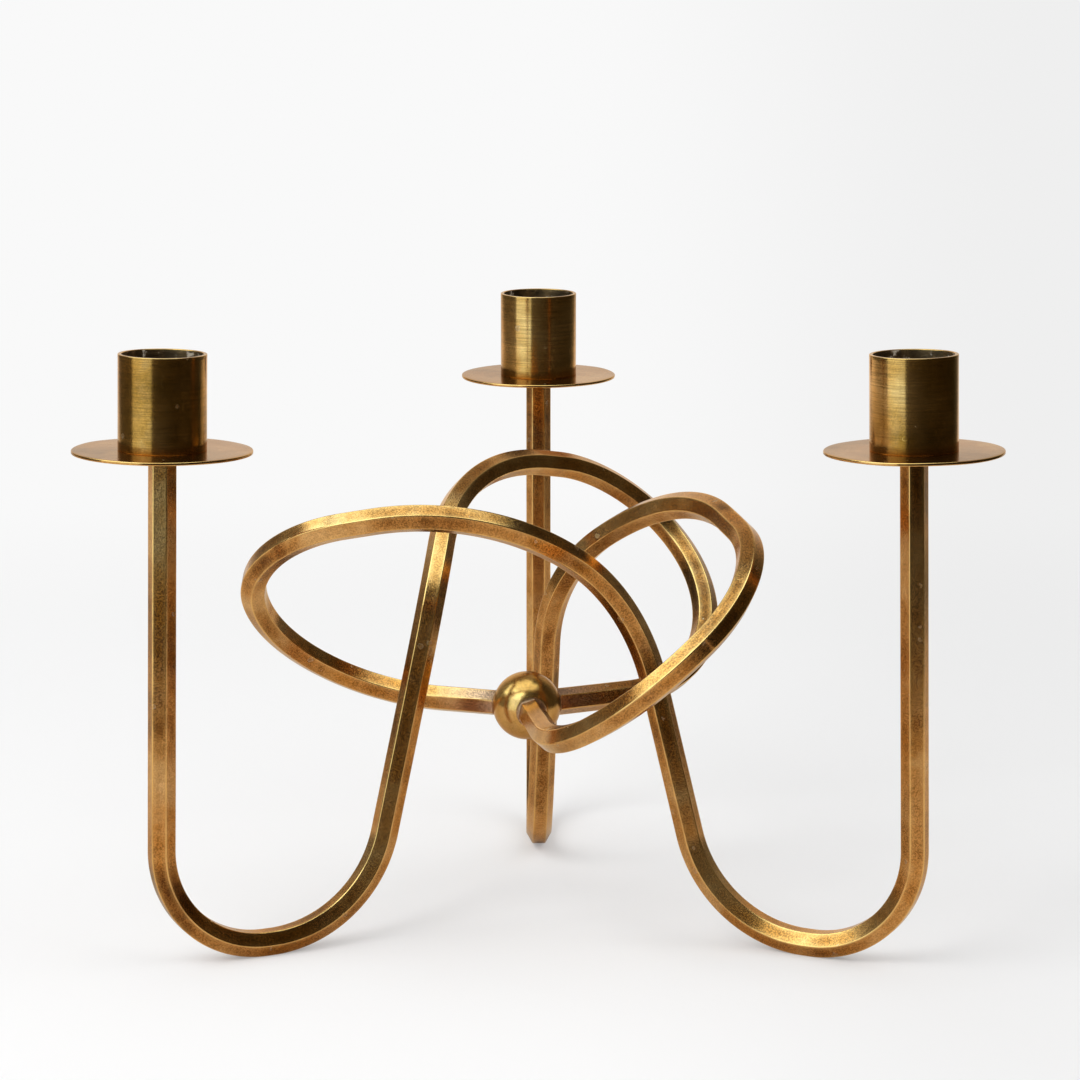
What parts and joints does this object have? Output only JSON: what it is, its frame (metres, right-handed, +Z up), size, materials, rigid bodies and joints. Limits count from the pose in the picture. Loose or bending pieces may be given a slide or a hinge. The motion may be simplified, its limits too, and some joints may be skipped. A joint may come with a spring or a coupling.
{
  "type": "three-arm candelabra",
  "caption": "Table candelabra of bent hexagonal brass bar: looping arms meet in a small ball, turn round as feet and carry drip pans with candle cups.",
  "frame": {"origin": "middle of the outline seen from above, on the table plane under the feet", "axes": "+Z up, +Y towards the back arm, +X to the right along the two front arms"},
  "size_m": [0.2566, 0.2144, 0.1742],
  "materials": {
    "bar_brass": "aged, drawn hexagonal bar with worn bright edges",
    "pan_brass": "aged sheet, paler and slightly pink, finely brushed",
    "cup_brass": "aged, brushed round the cup, dark and waxy inside",
    "ball_brass": "polished and aged, with grey braze at the joints",
    "screw_brass": "dull turned brass"
  },
  "bodies": {
    "root": {"centre_ball": "ball_brass", "back_rod": "bar_brass", "back_drip_pan": "pan_brass", "back_candle_cup": "cup_brass", "back_cup_screw": "screw_brass", "left_rod": "bar_brass", "left_drip_pan": "pan_brass", "left_candle_cup": "cup_brass", "left_cup_screw": "screw_brass", "right_rod": "bar_brass", "right_drip_pan": "pan_brass", "right_candle_cup": "cup_brass", "right_cup_screw": "screw_brass"}
  },
  "joints": []
}
